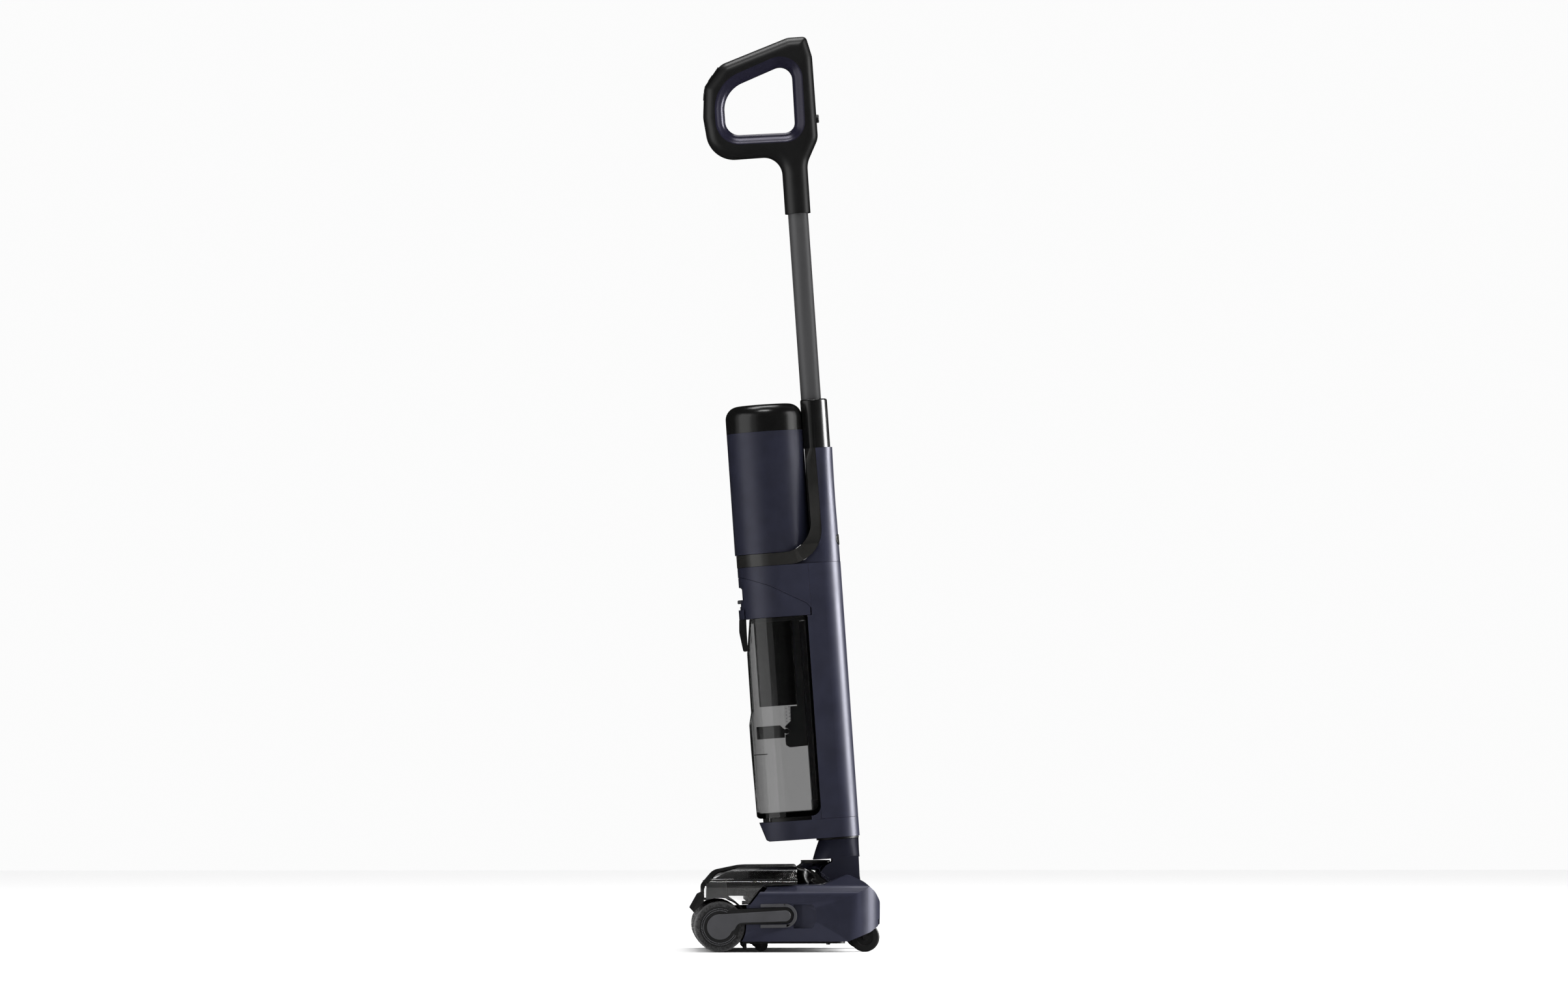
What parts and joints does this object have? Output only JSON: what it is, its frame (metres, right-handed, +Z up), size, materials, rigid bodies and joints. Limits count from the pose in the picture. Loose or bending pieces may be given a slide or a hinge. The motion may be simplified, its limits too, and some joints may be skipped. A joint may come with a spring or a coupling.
{
  "type": "wet dry floor scrubber",
  "caption": "Cordless upright floor washer: roller head with clear cover, reclining neck, body with clean and dirty water tanks, slim tube and loop handle.",
  "frame": {"origin": "on the floor under the middle of the bounding box, machine standing upright as stored", "axes": "+Z up; +X to the rear, so the roller and the front face -X; +Y to the machine's left; the roller and wheel axles lie along Y"},
  "size_m": [0.2247, 0.242, 1.1022],
  "materials": {
    "navy_plastic": "satin moulded",
    "black_gloss": "polished",
    "black_plastic": "fine satin",
    "grey_plastic": "satin moulded",
    "indigo_lining": "satin",
    "tube_metal": "dark satin anodised",
    "clear_cover": "clear moulded",
    "smoked_tank": "smoked clear moulded",
    "roller_cloth": "short dense pile",
    "rubber": "soft matt",
    "steel": "plain",
    "contact_metal": "plated",
    "cell_wrap": "heat shrink"
  },
  "bodies": {
    "base": {"base_shell": "navy_plastic", "base_pan": "black_plastic", "squeegee": "rubber", "side_brackets": "grey_plastic", "drive_cover": "black_plastic", "brush_motor": "steel", "duct_collar": "clear_cover", "duct_seal": "rubber", "suction_hose": "rubber", "wheel_axles": "steel", "hinge_pins": "steel", "charging_contacts": "contact_metal", "base_screws": "steel"},
    "release_arm": {"release_arm": "black_plastic"},
    "roller": {"roller_fabric": "roller_cloth", "roller_tube": "grey_plastic", "drive_dog": "black_plastic"},
    "brush_cover": {"brush_cover": "clear_cover", "cover_bumper": "rubber"},
    "rear_wheel_left": {"rear_wheel_left": "rubber"},
    "rear_wheel_right": {"rear_wheel_right": "rubber"},
    "support_wheel_left": {"support_wheel_left": "rubber"},
    "support_wheel_right": {"support_wheel_right": "rubber"},
    "neck": {"neck_yoke": "navy_plastic", "swivel_ring": "black_plastic"},
    "body": {"lower_body": "navy_plastic", "tank_tray": "black_plastic", "tank_cradle": "navy_plastic", "spine_frame": "black_plastic", "mid_housing": "navy_plastic", "spine_cover": "navy_plastic", "trim_band": "black_gloss", "upper_housing": "navy_plastic", "top_cap": "black_gloss", "display_lens": "black_gloss", "battery_pack": "cell_wrap", "suction_motor": "black_plastic", "tube_collar": "black_gloss", "handle_tube": "tube_metal", "handle_left": "black_plastic", "handle_right": "black_plastic", "grip_ring": "indigo_lining", "button_panel": "black_gloss"},
    "fan": {"motor_fan": "black_plastic"},
    "clean_tank": {"clean_tank": "navy_plastic", "tank_plug": "black_plastic"},
    "clean_tank_button": {"clean_tank_button": "black_gloss"},
    "dirty_tank": {"dirty_tank": "smoked_tank", "dirty_tank_lid": "navy_plastic", "lid_seal": "rubber", "filter_housing": "black_plastic", "intake_duct": "black_plastic", "separator": "black_plastic", "tank_handle": "black_plastic"},
    "float": {"float_arm": "black_plastic"},
    "tank_latch": {"tank_latch": "grey_plastic"},
    "power_button": {"power_button": "black_plastic"},
    "mode_button": {"mode_button": "black_plastic"},
    "clean_button": {"clean_button": "black_plastic"}
  },
  "joints": [
    {"name": "roller_release", "type": "slide", "parent": "base", "child": "release_arm", "axis": [0, -1, 0], "range_m": [0, 0.25]},
    {"name": "roller_spin", "type": "hinge", "parent": "release_arm", "child": "roller", "pos_m": [-0.08, 0, 0.0305], "axis": [0, 1, 0], "continuous": true},
    {"name": "cover_lift", "type": "slide", "parent": "base", "child": "brush_cover", "axis": [-0.9397, 0, 0.342], "range_m": [0, 0.1]},
    {"name": "rear_left_spin", "type": "hinge", "parent": "base", "child": "rear_wheel_left", "pos_m": [0.094, 0.084, 0.0177], "axis": [0, 1, 0], "continuous": true},
    {"name": "rear_right_spin", "type": "hinge", "parent": "base", "child": "rear_wheel_right", "pos_m": [0.094, -0.084, 0.0177], "axis": [0, 1, 0], "continuous": true},
    {"name": "support_left_spin", "type": "hinge", "parent": "base", "child": "support_wheel_left", "pos_m": [-0.03, 0.092, 0.009], "axis": [0, 1, 0], "continuous": true},
    {"name": "support_right_spin", "type": "hinge", "parent": "base", "child": "support_wheel_right", "pos_m": [-0.03, -0.092, 0.009], "axis": [0, 1, 0], "continuous": true},
    {"name": "recline", "type": "hinge", "parent": "base", "child": "neck", "pos_m": [0.066, 0, 0.083], "axis": [0, 1, 0], "range_deg": [0, 70], "deforming": ["suction_hose"]},
    {"name": "steer", "type": "hinge", "parent": "neck", "child": "body", "pos_m": [0.06453, 0, 0.13649], "axis": [-0.0698, 0, 0.9976], "range_deg": [-40, 40]},
    {"name": "fan_spin", "type": "hinge", "parent": "body", "child": "fan", "pos_m": [-0.01471, 0, 0.49985], "axis": [-0.0698, 0, 0.9976], "continuous": true},
    {"name": "clean_tank_slide", "type": "slide", "parent": "body", "child": "clean_tank", "axis": [0.9976, 0, 0.0698], "range_m": [0, 0.12]},
    {"name": "clean_tank_release", "type": "slide", "parent": "body", "child": "clean_tank_button", "axis": [-0.9976, 0, -0.0698], "range_m": [0, 0.0025], "stiffness_N_per_m": 400, "springref_m": -0.002},
    {"name": "dirty_tank_slide", "type": "slide", "parent": "body", "child": "dirty_tank", "axis": [-0.9976, 0, -0.0698], "range_m": [0, 0.15]},
    {"name": "float_lift", "type": "hinge", "parent": "dirty_tank", "child": "float", "pos_m": [0.00303, 0, 0.26341], "axis": [0, 1, 0], "range_deg": [0, 18]},
    {"name": "latch_press", "type": "slide", "parent": "dirty_tank", "child": "tank_latch", "axis": [0.0698, 0, -0.9976], "range_m": [0, 0.003], "stiffness_N_per_m": 300, "springref_m": -0.002},
    {"name": "power_press", "type": "slide", "parent": "body", "child": "power_button", "axis": [0.9986, 0, -0.0523], "range_m": [0, 0.0015], "stiffness_N_per_m": 500, "springref_m": -0.001},
    {"name": "mode_press", "type": "slide", "parent": "body", "child": "mode_button", "axis": [0.829, 0, -0.5592], "range_m": [0, 0.0015], "stiffness_N_per_m": 500, "springref_m": -0.001},
    {"name": "clean_press", "type": "slide", "parent": "body", "child": "clean_button", "axis": [-0.9976, 0, -0.0698], "range_m": [0, 0.0015], "stiffness_N_per_m": 500, "springref_m": -0.001}
  ]
}
